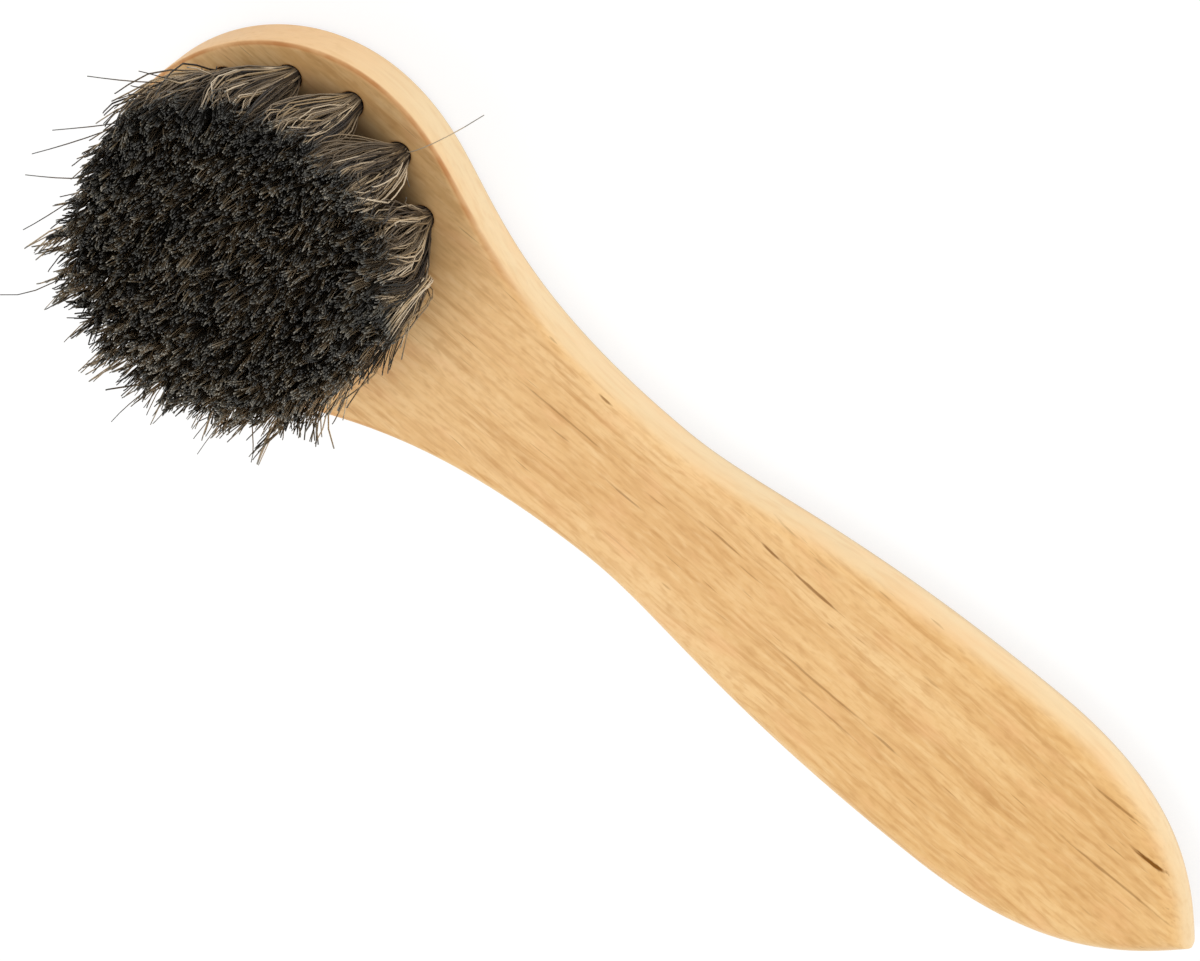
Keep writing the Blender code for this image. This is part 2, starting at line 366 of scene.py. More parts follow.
def wood_noises(nodes, position, grain):
    noises = {}
    for layers, where, turn in ((GRAIN_LAYERS, grain, GRAIN_TURN), (SPOT_LAYERS, position, 0.0)):
        for name, (along, across, detail, roughness) in layers.items():
            noises[name] = nodes.noise(nodes.stretched(where, along, across, turn), detail, roughness)
    return noises


def coated(nodes, colour, coats, noises):
    for name, low, high, share, tint in coats:
        colour = nodes.mix(nodes.remap(noises[name], low, high, 0.0, share), colour, tint)
    return colour


def along_handle(nodes, x, reach, smooth=False):
    """From 0 to 1 between two distances from the head's centre."""
    return nodes.remap(x, HEAD_X + reach[0], HEAD_X + reach[1], smooth=smooth)


def face_colour(nodes, noises, x):
    colour = nodes.ramp(noises["broad"], BROAD_STOPS)
    colour = coated(nodes, colour, FACE_COATS, noises)
    return nodes.mix(along_handle(nodes, x, GRIP_TINT_REACH), colour, GRIP_TINT, "MULTIPLY")


def side_colour_with_painted_light(nodes, noises, x, height):
    """The edges' colour: paler than the face, which is painted light, and rosy on the end grain of the head.
    """
    pale = nodes.remap(height, *SIDE_PALE_HEIGHTS, 0.0, SIDE_PALE_SHARE)
    colour = nodes.mix(pale, BEECH_SIDE_PAINTED_LIGHT, BEECH_PALE)
    colour = nodes.mix(along_handle(nodes, x, END_GRAIN_REACH, smooth=True), colour, BEECH_END)
    return coated(nodes, colour, SIDE_COATS, noises)


# Painted shade: the rounded edges darken where they face down
def painted_shade_on_lower_edge(nodes, colour, facing):
    shaded_underside = nodes.remap(facing, *LOWER_EDGE_FACING, 0.0, LOWER_EDGE_SHARE)
    shaded_underside = nodes.times(shaded_underside, nodes.remap(facing, *BACK_FACING))
    return nodes.mix(shaded_underside, colour, LOWER_EDGE_SHADE)


# Painted shadow: the wood among the tufts darkens towards the middle of the head, as the hair shades it
def painted_shadow_between_tufts(nodes, colour, position):
    from_middle = nodes.vector_math("DISTANCE", position, (HEAD_X, 0, THICKNESS))["Value"]
    shadow_between_tufts = nodes.remap(from_middle, *SHADOW_AMONG_TUFTS_REACH, 0.0, SHADOW_AMONG_TUFTS_SHARE, smooth=True)
    deep_shadow = nodes.remap(from_middle, *DEEP_SHADOW_AMONG_TUFTS_REACH)
    return nodes.mix(shadow_between_tufts, colour, nodes.mix(deep_shadow, SHADOW_AMONG_TUFTS, DEEP_SHADOW_AMONG_TUFTS))


# Painted shadow: a thin brown line where the head's face rounds over into its edges
def painted_edge_shadow(nodes, colour, noises, x, upwards):
    rounded = nodes.remap(upwards, *EDGE_FACING_UP)
    rounded = nodes.times(rounded, nodes.remap(upwards, *EDGE_FACING_OUT))
    on_head = along_handle(nodes, x, EDGE_SHADOW_REACH)
    patchy = nodes.remap(noises["patches"], *EDGE_PATCHES, EDGE_LEAST, 1.0)
    edge = nodes.times(nodes.times(rounded, on_head), patchy)
    return nodes.mix(nodes.times(edge, EDGE_SHARE), colour, EDGE_SHADOW_BROWN)


def wood_bump(nodes, noises, streak):
    lines = nodes.times(noises["lines"], LINES_RELIEF)
    height = nodes.math("ADD", lines, nodes.times(noises["pores"], PORES_RELIEF))
    height = nodes.math("SUBTRACT", height, nodes.times(streak, STREAK_RELIEF))
    bump = nodes.add("ShaderNodeBump", Strength=BUMP_STRENGTH, Distance=BUMP_HEIGHT, Height=height)
    return bump.outputs["Normal"]


def beech_material():
    material, nodes = new_material("beech_wood")
    where = nodes.add("ShaderNodeTexCoord").outputs
    position = where["Object"]
    grain = wandering_grain(nodes, position)
    noises = wood_noises(nodes, position, grain)
    split = nodes.add("ShaderNodeSeparateXYZ", Vector=position).outputs
    facing = nodes.add("ShaderNodeSeparateXYZ", Vector=where["Normal"]).outputs["Z"]
    upwards = nodes.math("ABSOLUTE", facing)

    colour = face_colour(nodes, noises, split["X"])
    # Painted light: the sides are paler than the face
    side = nodes.remap(upwards, *SIDE_FACING, 0.0, SIDE_SHARE, smooth=True)
    colour = nodes.mix(side, colour, side_colour_with_painted_light(nodes, noises, split["X"], split["Z"]))
    # Painted shade where the edges face down
    colour = painted_shade_on_lower_edge(nodes, colour, facing)
    streak = streaks_mask(nodes, grain)
    colour = nodes.mix(streak, colour, FLECK_BROWN)
    # Painted shadow among the tufts
    colour = painted_shadow_between_tufts(nodes, colour, position)
    # Painted shadow along the head's edges
    colour = painted_edge_shadow(nodes, colour, noises, split["X"], upwards)

    shine = nodes.remap(noises["lines"], *NOISE_SPAN, *GRAIN_ROUGHNESS)
    normal = wood_bump(nodes, noises, streak)
    nodes.principled(Base_Color=colour, Roughness=shine, Normal=normal, Specular_IOR_Level=WOOD_SPECULAR)
    return material


def bezier(start, start_angle, end, end_angle, shares, steps):
    """Points of a curve whose ends run at these angles. Each handle is a share of the way along X."""
    way = end.x - start.x
    leave = start + shares[0] * way * Vector((cos(start_angle), sin(start_angle)))
    arrive = end - shares[1] * way * Vector((cos(end_angle), sin(end_angle)))
    return interpolate_bezier(start, leave, arrive, end, steps + 1)


def side_outline(fine):
    """One side of the outline from above, from the head's end to the tip, with the head's centre at 0."""
    arc_steps = ARC_STEPS * fine
    turn = (pi - HEAD_ARC_END) / arc_steps
    arc = [Vector((cos(pi - i * turn), sin(pi - i * turn))) * HEAD_RADIUS for i in range(arc_steps)]
    arc_end = Vector((cos(HEAD_ARC_END), sin(HEAD_ARC_END))) * HEAD_RADIUS
    neck = Vector((NECK_FROM_HEAD, NECK_WIDTH / 2))
    grip = Vector((GRIP_FROM_HEAD, GRIP_WIDTH / 2))
    tip = Vector((LENGTH - HEAD_RADIUS, 0))
    steps = CURVE_STEPS * fine
    shoulder = bezier(arc_end, HEAD_ARC_END - pi / 2, neck, 0, HEAD_TO_NECK, steps)
    waist = bezier(neck, 0, grip, 0, NECK_TO_GRIP, steps)
    nose = bezier(grip, 0, tip, -TIP_HALF_ANGLE, GRIP_TO_TIP, steps)
    return np.array([tuple(p) for p in arc + shoulder + waist[1:] + nose[1:]])


def shares_along(line):
    """How far along the line each of its points lies, from 0 to 1."""
    steps = np.hypot(*np.diff(line, axis=0).T)
    run = np.concatenate([[0], np.cumsum(steps)])
    return run / run[-1]


def meet_middle(outside, inside):
    """Where the way between two points crosses the handle's middle line."""
    share = outside[1] / (outside[1] - inside[1])
    return outside + share * (inside - outside)


def edge_rounding(x):
    """The rounding of the handle's long edges at this distance from the head's centre."""
    return np.interp(
        x, (HEAD_EDGE_END, NECK_FROM_HEAD, GRIP_FROM_HEAD), (HEAD_EDGE, NECK_EDGE, GRIP_EDGE)
    )


def inset_side(inset_share, more=0.0):
    """One side of the outline, moved inwards by a share of its edge rounding as far as the middle line."""
    line = side_outline(FINE)
    along = np.gradient(line, axis=0)
    along /= np.hypot(*along.T)[:, None]
    outwards = np.column_stack([-along[:, 1], along[:, 0]])
    moved = line - outwards * (inset_share * edge_rounding(line[:, 0]) + more)[:, None]
    kept = np.flatnonzero(moved[1:-1, 1] > 0) + 1
    first = meet_middle(moved[kept[0] - 1], moved[kept[0]])
    last = meet_middle(moved[kept[-1] + 1], moved[kept[-1]])
    moved = np.vstack([first, moved[kept], last])
    wanted = shares_along(side_outline(1))
    run = shares_along(moved)
    return np.column_stack([np.interp(wanted, run, moved[:, axis]) for axis in (0, 1)])


def handle_rings():
    """Closed rings of points from the flat back up the edge to the flat face."""
    angles = [pi / 2 * i / EDGE_STEPS for i in range(EDGE_STEPS + 1)]
    levels = [(0, angle, 0.0) for angle in reversed(angles)] + [(1, angle, 0.0) for angle in angles]
    levels = [(0, pi / 2, FLAT_RIM)] + levels + [(1, pi / 2, FLAT_RIM)]
    for on_face, angle, more in levels:
        side = inset_side(1 - cos(angle), more)
        depth = edge_rounding(side[:, 0]) * (1 - sin(angle))
        height = THICKNESS - depth if on_face else depth
        points = [Vector((x + HEAD_X, y, z)) for (x, y), z in zip(side, height)]
        mirrored = [Vector((p.x, -p.y, p.z)) for p in reversed(points[1:-1])]
        yield points + mirrored


# Where the back, the face, the two sides and the holes lie up the bake's map
BACK_BAND = (0.010, 0.405)
FACE_BAND = (0.415, 0.810)
SIDE_BANDS = ((0.820, 0.890), (0.900, 0.970))
HOLE_BAND = (0.978, 0.995)
MAP_EDGE = 0.004

# Across the map: where the holes' walls start, how wide they are, and where the floors lie
WALLS_ACROSS = 0.1
WALLS_WIDTH = 0.1
FLOORS_ACROSS = 0.3


def across_map(x):
    return MAP_EDGE + (1 - 2 * MAP_EDGE) * (x - HANDLE_LOW.x) / LENGTH


def flat_place(co, band):
    """Where a point of the face or the back lies on the map."""
    share = (co.y + HEAD_RADIUS) / HEAD_DIAMETER
    return across_map(co.x), band[0] + share * (band[1] - band[0])


def wall_place(co, centre, down):
    """Where a point of a hole's wall, this share of the way down it, lies on the map."""
    share = (atan2(co.y - centre.y, co.x - centre.x) + pi) / tau
    return WALLS_ACROSS + WALLS_WIDTH * share, HOLE_BAND[1] - down * (HOLE_BAND[1] - HOLE_BAND[0])


def floor_place(co, centre):
    return FLOORS_ACROSS + co.x - centre.x, (HOLE_BAND[0] + HOLE_BAND[1]) / 2 + co.y - centre.y


def loft_sides(bm, uv, rings):
    """The skin of the handle's edge through its rings, mapped as two long bands."""
    rows = [[bm.verts.new(point) for point in ring] for ring in rings]
    count = len(rows[0])
    half = count // 2
    for level, (low, high) in enumerate(zip(rows, rows[1:])):
        for i in range(count):
            j = (i + 1) % count
            face = bm.faces.new((low[j], low[i], high[i], high[j]))
            face.smooth = True
            band = SIDE_BANDS[0] if i < half else SIDE_BANDS[1]
            for loop, point, rise in zip(face.loops, (i + 1, i, i, i + 1), (0, 0, 1, 1)):
                along = point / half if i < half else 2 - point / half
                up = (level + rise) / (len(rows) - 1)
                across = MAP_EDGE + (1 - 2 * MAP_EDGE) * along
                loop[uv].uv = (across, band[0] + up * (band[1] - band[0]))
    return rows[0], rows[-1]


def hole_rows(bm, centre):
    """Rings of points down a hole: two round its mouth, two down the rounding and one at its floor."""
    rounding = MOUTH_EDGE_STEP * MOUTH_EDGE
    levels = (
        (HOLE_RADIUS + MOUTH_EDGE + FLAT_RIM, 0.0), (HOLE_RADIUS + MOUTH_EDGE, 0.0),
        (HOLE_RADIUS + rounding, -rounding), (HOLE_RADIUS, -MOUTH_EDGE), (HOLE_RADIUS, -HOLE_DEPTH),
    )
    turns = [(cos(tau * i / HOLE_SIDES), sin(tau * i / HOLE_SIDES)) for i in range(HOLE_SIDES)]
    rows = []
    for radius, height in levels:
        points = [(centre.x + radius * x, centre.y + radius * y, THICKNESS + height) for x, y in turns]
        rows.append([bm.verts.new(point) for point in points])
    return rows


def drill(bm, uv, centre):
    """The skin of one hole, from the ring round its mouth down to its floor."""
    rows = hole_rows(bm, centre)
    for level, (high, low) in enumerate(zip(rows, rows[1:])):
        for i in range(HOLE_SIDES):
            face = bm.faces.new((high[i - 1], low[i - 1], low[i], high[i]))
            face.smooth = True
            for loop, step in zip(face.loops, (0, 1, 1, 0)):
                if level == 0:
                    loop[uv].uv = flat_place(loop.vert.co, FACE_BAND)
                else:
                    loop[uv].uv = wall_place(loop.vert.co, centre, (level + step) / (len(rows) - 1))
    floor = bm.faces.new(rows[-1])
    for loop in floor.loops:
        loop[uv].uv = floor_place(loop.vert.co, centre)
    return rows[0]


def fill_flat(bm, uv, rings, band, upwards):
    """Fills the flat between the outline and the holes."""
    edges = [bm.edges.get((ring[i - 1], ring[i])) for ring in rings for i in range(len(ring))]
    filled = bmesh.ops.triangle_fill(bm, use_beauty=True, edges=edges, normal=(0, 0, 1))
    for face in filled["geom"]:
        if isinstance(face, bmesh.types.BMFace):
            face.smooth = True
            if (face.normal.z > 0) != upwards:
                face.normal_flip()
            for loop in face.loops:
                loop[uv].uv = flat_place(loop.vert.co, band)


def make_handle(holes, material):
    bm = bmesh.new()
    uv = bm.loops.layers.uv.new("OFBake")
    back, face = loft_sides(bm, uv, list(handle_rings()))
    mouths = [drill(bm, uv, hole.centre) for hole in holes]
    fill_flat(bm, uv, [back], BACK_BAND, upwards=False)
    fill_flat(bm, uv, [face] + mouths, FACE_BAND, upwards=True)
    mesh = bpy.data.meshes.new("wooden_handle")
    bm.to_mesh(mesh)
    bm.free()
    mesh.set_sharp_from_angle(angle=SHARP_EDGE)
    mesh.materials.append(material)
    handle = place("wooden_handle", mesh)
    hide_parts("handle")
    return handle


# Hair: places and sizes are in millimetres, heights are above the hole's mouth

HAIR_LENGTH = 19.0
HAIR_RADIUS = 0.110
TIP_RADIUS = 0.104
CUT_RADIUS = 0.084
RADIUS_ROWS = (0.2, 0.8, 1.0)
THICKNESSES = (0.75, 1.15)
BUNDLE_RADIUS = 1.60
TIP_FIELD_RADIUS = 21.65
PAIRS_IN_TUFT = {"outer": 220, "middle": 160, "inner": 160}

# Points up each standing half, as shares of its height
HEIGHTS = np.array([0.0, 0.06, 0.15, 0.27, 0.42, 0.60, 0.80, 0.975, 1.0])

# The fold of each hair under the staple: where it starts, its lowest point and what the tuft's side adds,
# its half width and what the side adds, and how flat it is
FOLD_START = -3.3
FOLD_TOP = -3.75
FOLD_REACH = 1.25
FOLD_HALF_WIDTH = 0.34
FOLD_WIDENING = 1.10
FOLD_SQUEEZE = 0.36
FOLD_STEPS = 5

# A point of each hair on its way down to the fold
WAIST_HEIGHT = -1.7
WAIST_SQUEEZE = 0.8

# Hairs hang together in locks, and in thinner wisps within them, and some are loose
LOCKS_IN_TUFT = 18
WISPS_IN_TUFT = {"outer": 72, "middle": 90, "inner": 90}
EVEN_SCATTER = (0.7549, 0.5698)
LOOSE_SHARE = 0.14
LOCK_GATHER = (0.0, 0.28)
WISP_GATHER = (0.35, 0.75)
RIM_GATHER = 0.10
RIM_START = 0.3

# How the tufts share the trimmed face: drawn inwards, mixed with their neighbours, crowded at the rim
DRAWN_IN = 0.06
MIXING = 1.18
OUTWARD_CROWDING = 0.80
TIP_SCATTER = 0.09

# The share of the height at which a tuft has spread, what locks and wisps add, and how slowly it starts
SPREAD_HEIGHT = 0.42
LOCK_SPREAD_HEIGHT = 0.24
WISP_SPREAD_HEIGHT = 0.14
SLOW_START = 1.35

# How far locks and wisps bow half-way up, out and round the head, and how far a hair does
LOCK_BOW = (0.15, 0.30)
WISP_BOW = (0.30, 0.62)
HAIR_BOW = 0.27

# How far the hair at the rim splays towards its cut ends, and with which power of the height
LEAST_FLARE = 0.2
LOCK_FLARE = 1.4
WISP_FLARE = 0.55
HAIR_FLARE = 0.25
LONG_TAIL = 3.2
LONG_TAIL_RARITY = 8
LONGEST_FLARE = 4.6
RIM_FLARE_POWER = 1.6
LOCK_ASIDE = 0.45
WISP_ASIDE = 0.35
FLARE_POWER = 1.1
LOCK_FLARE_POWER = 0.9
HAIR_FLARE_POWER = 0.5

# How many waves the wisps have, how large they are, and what each hair adds
WAVES = (0.7, 1.6)
WAVE_SIZES = (0.05, 0.36)
HAIR_WAVE_SIZES = (0, 0.10)
HAIR_WAVE_START = 0.35
WAVES_FULL_HEIGHT = 0.3

# The bend of the last stretch of wisps and hairs
WISP_BEND = 0.36
HAIR_BEND = 0.12
BEND_START = 0.72
BEND_POWER = 1.5

# How much shorter some hairs and locks are, and those that splay, by the square of their flare
HAIR_SHORTER = 0.4
LOCK_SHORTER = 0.5
FLARE_SHORTER = 0.05

# How light the hairs are, from 0 to 1: the parts of wisp and hair, and what flare, as painted light, and rim
# add
WISP_SHADE = 0.68
HAIR_SHADE = 0.32
MIDDLE_SHADE = 0.43
SHADE_CONTRAST = 1.42
FLARE_PAINTED_LIGHT = 0.09
RIM_SHADE = -0.04

# How far the outer tufts are combed round the head on its +Y side, and the direction where that starts
COMB = radians(12)
COMB_START = radians(25)

# What sets some tufts apart: how much lighter they are, how much further out and how many times as ragged
# at the rim, how much later they spread on their clockwise and their other side, how many times as wide
# on the clockwise one, and how far out and round the head one side swings
PLAIN = (0.0, 0.0, 1.0, (0.0, 0.0), 1.0, (0.0, 0.0))
Habit = namedtuple("Habit", "tone splay ragged later wider swing", defaults=PLAIN)
HABITS = {
    "outer_01": Habit(-0.06, -1.0, swing=(0.8, 1.8)),
    "outer_02": Habit(-0.02, -1.3, later=(0.0, 0.16), wider=2.2, swing=(1.5, -1.5)),
    "outer_03": Habit(0.15, -2.6, later=(0.18, 0.14)),
    "outer_04": Habit(-0.17, -2.4, later=(0.16, 0.06)),
    "outer_05": Habit(-0.17, -1.6, swing=(1.3, 0.9)),
    "outer_06": Habit(-0.12, 0.7, swing=(1.2, 0.6)),
    "outer_07": Habit(-0.08, -0.6, swing=(0.8, -0.4)),
    "outer_08": Habit(0.0, -1.5),
    "outer_09": Habit(0.05, 0.9),
    "outer_10": Habit(0.10, -0.3, ragged=1.25),
    "outer_11": Habit(0.18, -1.5, ragged=1.55),
    "outer_12": Habit(0.20, -2.0, ragged=1.65),
    "outer_13": Habit(0.18, -0.9, ragged=1.5),
    "outer_14": Habit(0.08, -2.4),
}
SWING_AT_MIDDLE = 0.6

# Loose hairs that stick out: the point from which each heads for its end, and its end, both from the
# head's centre and up from the back, and how light it is
STRAYS = (
    ((10.3, 23.6, 12.0), (13.1, 32.5, 14.0), 0.95),
    ((-24.0, 10.1, 24.0), (-27.7, 8.1, 25.0), 0.35),
    ((-20.4, 14.1, 24.0), (-22.9, 13.1, 25.0), 0.25),
    ((-22.1, 4.3, 24.0), (-27.4, -0.8, 25.0), 0.40),
    ((-24.3, -0.6, 24.0), (-27.8, -5.2, 25.0), 0.30),
    ((-22.2, -5.2, 24.0), (-27.0, -8.1, 25.0), 0.45),
    ((-21.6, -10.8, 24.0), (-23.3, -14.4, 25.0), 0.30),
    ((-15.8, -20.8, 24.0), (-21.0, -23.8, 25.0), 0.35),
    ((-0.2, -24.5, 24.0), (-0.3, -28.0, 25.0), 0.40),
    ((10.5, -19.8, 24.0), (10.8, -23.8, 25.0), 0.60),
    ((16.1, -17.6, 24.0), (16.8, -19.8, 25.0), 0.60),
    ((8.7, 17.8, 9.6), (10.7, 15.9, 8.8), 0.90),
    ((21.5, 2.0, 18.0), (22.9, -3.0, 15.0), 0.50),
    ((-17.1, 10.8, 12.0), (-18.7, 11.7, 11.0), 0.30),
    ((-16.4, 11.4, 12.0), (-17.3, 13.3, 11.0), 0.30),
    ((-17.7, 9.9, 12.0), (-19.4, 10.4, 11.0), 0.30),
)
STRAY_THICKNESS = 0.72
STRAY_UPRIGHT = 0.6

Hole = namedtuple("Hole", "name ring centre angle tip_inside tip_outside half_angle habit")


def find_holes():
    """Every hole from the place of its staple, with the part of the trimmed face that its hair fills."""
    rings = {"outer": [], "middle": [], "inner": []}
    for name in sorted(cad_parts):
        if name.startswith("staple_"):
            low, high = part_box(name)
            rings[name.split("_")[1]].append((name.removeprefix("staple_"), (low + high) / 2))
    tufts = sum(len(ring) for ring in rings.values())
    tufts_inside = tufts
    for ring, members in rings.items():
        tufts_inside -= len(members)
        tip_inside = TIP_FIELD_RADIUS * sqrt(tufts_inside / tufts)
        tip_outside = TIP_FIELD_RADIUS * sqrt((tufts_inside + len(members)) / tufts)
        for name, centre in members:
            angle = atan2(centre.y, centre.x - HEAD_X)
            habit = HABITS.get(name, Habit())
            yield Hole(name, ring, centre, angle, tip_inside, tip_outside, pi / len(members), habit)


def square_from_disc(x, y):
    """Takes a point of the unit disc to the square from -1 to 1."""
    root = 2 * sqrt(2)
    grow = 2 + x * x - y * y
    shrink = 2 - x * x + y * y
    across = 0.5 * (np.sqrt(np.maximum(grow + root * x, 0)) - np.sqrt(np.maximum(grow - root * x, 0)))
    up = 0.5 * (np.sqrt(np.maximum(shrink + root * y, 0)) - np.sqrt(np.maximum(shrink - root * y, 0)))
    return across, up


def bundle_roots(hole, rng):
    """Where the hairs of a tuft leave the hole: one half of each folded hair near +X, the other near -X."""
    golden = pi * (3 - sqrt(5))
    i = np.arange(2 * PAIRS_IN_TUFT[hole.ring])
    radius = BUNDLE_RADIUS * np.sqrt((i + 0.5) / len(i))
    turn = i * golden + rng.uniform(0, tau)
    x, y = radius * np.cos(turn), radius * np.sin(turn)
    right = x > 0
    near = np.column_stack([x[right], y[right]])
    far = near * (-1, 1)
    return near, far


def scattered(count, rng):
    """Places spread evenly, but in no rows, over the square from -1 to 1."""
    steps = np.outer(np.arange(count), EVEN_SCATTER) + rng.random(2)
    return 2 * (steps % 1) - 1


def nearest(places, centres):
    """The number of the nearest centre to each place."""
    away = places[:, None] - centres[None]
    return np.argmin((away ** 2).sum(axis=2), axis=1)


def trimmed_place(hole, cell):
    """Takes places in a tuft's cell, out and round from -1 to 1, to the trimmed face."""
    outer = hole.ring == "outer"
    inside, outside = hole.tip_inside ** 2, hole.tip_outside ** 2
    out = (cell[:, 0] + 1) / 2 - DRAWN_IN
    out = np.clip(out / (1 - DRAWN_IN * (1 if outer else 2)), 0, None)
    radius = np.sqrt(inside + out ** OUTWARD_CROWDING * (outside - inside))
    radius = radius + hole.habit.splay * out
    comb = COMB * max(sin(hole.angle - COMB_START), 0) if outer else 0.0
    wider = np.where(cell[:, 1] < 0, hole.habit.wider, 1.0)
    angle = hole.angle + comb + cell[:, 1] * wider * hole.half_angle * MIXING
    return np.column_stack([radius * np.cos(angle), radius * np.sin(angle)])


class Hairs:
    """The standing halves of one tuft's hairs."""

    def __init__(self, hole, roots, rng):
        self.hole = hole
        self.roots = roots
        self.rng = rng
        self.count = len(roots)
        self.outwards = np.array([cos(hole.angle), sin(hole.angle)])
        self.round_head = np.array([-sin(hole.angle), cos(hole.angle)])
        places = roots / BUNDLE_RADIUS
        self.cell = np.column_stack(square_from_disc(places @ self.outwards, places @ self.round_head))
        locks = scattered(LOCKS_IN_TUFT, rng)
        self.wisps = WISPS_IN_TUFT[hole.ring]
        wisps = scattered(self.wisps, rng)
        self.lock = nearest(self.cell, locks)
        self.wisp = nearest(self.cell, wisps)
        self.at_rim = np.zeros(self.count)
        if hole.ring == "outer":
            self.at_rim = np.clip(self.cell[:, 0] + RIM_START, 0, 1 + RIM_START) / (1 + RIM_START)
        self.cell += (locks[self.lock] - self.cell) * rng.uniform(*LOCK_GATHER, self.count)[:, None]
        gather = rng.uniform(*WISP_GATHER, self.count) + RIM_GATHER * self.at_rim
        gather *= rng.random(self.count) > LOOSE_SHARE
        self.cell += (wisps[self.wisp] - self.cell) * gather[:, None]

    def by_lock(self, values):
        """A value for each hair out of the values for the locks."""
        return values[self.lock]

    def by_wisp(self, values):
        return values[self.wisp]

    def fan(self):
        """Paths that spread from the mouth to the tuft's share of the trimmed face."""
        rng = self.rng
        tips = trimmed_place(self.hole, self.cell) + rng.normal(0, TIP_SCATTER, (self.count, 2))
        tips -= np.array([self.hole.centre.x - HEAD_X, self.hole.centre.y]) / MM
        corner = SPREAD_HEIGHT + LOCK_SPREAD_HEIGHT * self.by_lock(rng.random(LOCKS_IN_TUFT))
        corner += WISP_SPREAD_HEIGHT * self.by_wisp(rng.random(self.wisps))
        corner += np.interp(self.cell[:, 1], (-1, 1), self.hole.habit.later)
        rise = HEIGHTS[None, :] / corner[:, None]
        rise = rise ** SLOW_START
        spread = rise / (1 + rise ** 3) ** (1 / 3)
        return self.roots[:, None] + (tips - self.roots)[:, None] * spread[:, :, None]

    def bow(self):
        """How far each hair bends aside half-way up."""
        rng = self.rng
        bow = self.by_lock(rng.normal(0, LOCK_BOW, (LOCKS_IN_TUFT, 2)))
        bow += self.by_wisp(rng.normal(0, WISP_BOW, (self.wisps, 2)))
        bow += rng.laplace(0, HAIR_BOW, (self.count, 2))
        swing = np.array(self.hole.habit.swing)
        bow += swing * np.clip(SWING_AT_MIDDLE + np.sign(swing[1]) * self.cell[:, 1:], 0, 1)
        way = bow[:, :1] * self.outwards + bow[:, 1:] * self.round_head
        return way[:, None] * np.sin(pi * HEIGHTS)[None, :, None]

    def flare(self):
        """How far the hair at the rim splays, in ragged clumps, towards its cut ends."""
        rng = self.rng
        size = LEAST_FLARE + LOCK_FLARE * self.by_lock(rng.random(LOCKS_IN_TUFT)) ** 2
        wisps = self.by_wisp(rng.exponential(WISP_FLARE, self.wisps))
        size += wisps + rng.exponential(HAIR_FLARE, self.count)
        size += LONG_TAIL * rng.random(self.count) ** LONG_TAIL_RARITY
        size *= self.hole.habit.ragged
        size = np.minimum(size * self.at_rim ** RIM_FLARE_POWER, LONGEST_FLARE)
        aside = self.by_lock(rng.normal(0, LOCK_ASIDE, LOCKS_IN_TUFT))
        aside += self.by_wisp(rng.normal(0, WISP_ASIDE, self.wisps))
        way = size[:, None] * (self.outwards + aside[:, None] * self.round_head)
        late = FLARE_POWER + LOCK_FLARE_POWER * self.by_lock(rng.random(LOCKS_IN_TUFT))
        late += rng.uniform(0, HAIR_FLARE_POWER, self.count)
        return way[:, None] * (HEIGHTS[None, :] ** late[:, None])[:, :, None], size

    def waves(self):
        """The wander of each wisp, and the turn of each hair's last stretch."""
        rng = self.rng
        start = self.by_wisp(rng.uniform(0, tau, (self.wisps, 2)))
        start += rng.normal(0, HAIR_WAVE_START, (self.count, 2))
        turns = self.by_wisp(rng.uniform(*WAVES, self.wisps))
        size = self.by_wisp(rng.uniform(*WAVE_SIZES, (self.wisps, 2)))
        size += rng.uniform(*HAIR_WAVE_SIZES, (self.count, 2))
        swing = np.sin(tau * turns[:, None, None] * HEIGHTS[None, :, None] + start[:, None])
        swing = size[:, None] * swing * np.minimum(HEIGHTS / WAVES_FULL_HEIGHT, 1)[None, :, None]
        bend = self.by_wisp(rng.normal(0, WISP_BEND, (self.wisps, 2)))
        bend += rng.normal(0, HAIR_BEND, (self.count, 2))
        last_stretch = np.clip((HEIGHTS - BEND_START) / (1 - BEND_START), 0, 1) ** BEND_POWER
        return swing + bend[:, None] * last_stretch[None, :, None]

    def paths_and_shades(self):
        """The path of each hair, and how light it is, from 0 to 1."""
        flare, size = self.flare()
        path = np.zeros((self.count, len(HEIGHTS), 3))
        path[:, :, :2] = self.fan() + self.bow() + flare + self.waves()
        short = LOCK_SHORTER * self.by_lock(self.rng.random(LOCKS_IN_TUFT)) ** 2 + FLARE_SHORTER * size ** 2
        length = HAIR_LENGTH - self.rng.uniform(0, HAIR_SHORTER, self.count) - short
        path[:, :, 2] = length[:, None] * HEIGHTS[None, :]
        return path, self.shades(size)

    def shades(self, flare_size):
        shade = WISP_SHADE * self.by_wisp(self.rng.random(self.wisps))
        shade += HAIR_SHADE * self.rng.random(self.count)
        shade = MIDDLE_SHADE + SHADE_CONTRAST * (shade - 0.5)
        # Splayed hairs at the rim are lighter: painted light, as of thin hair against the bright background
        shade += FLARE_PAINTED_LIGHT * flare_size + RIM_SHADE * self.at_rim + self.hole.habit.tone
        return np.clip(shade, 0, 0.999)


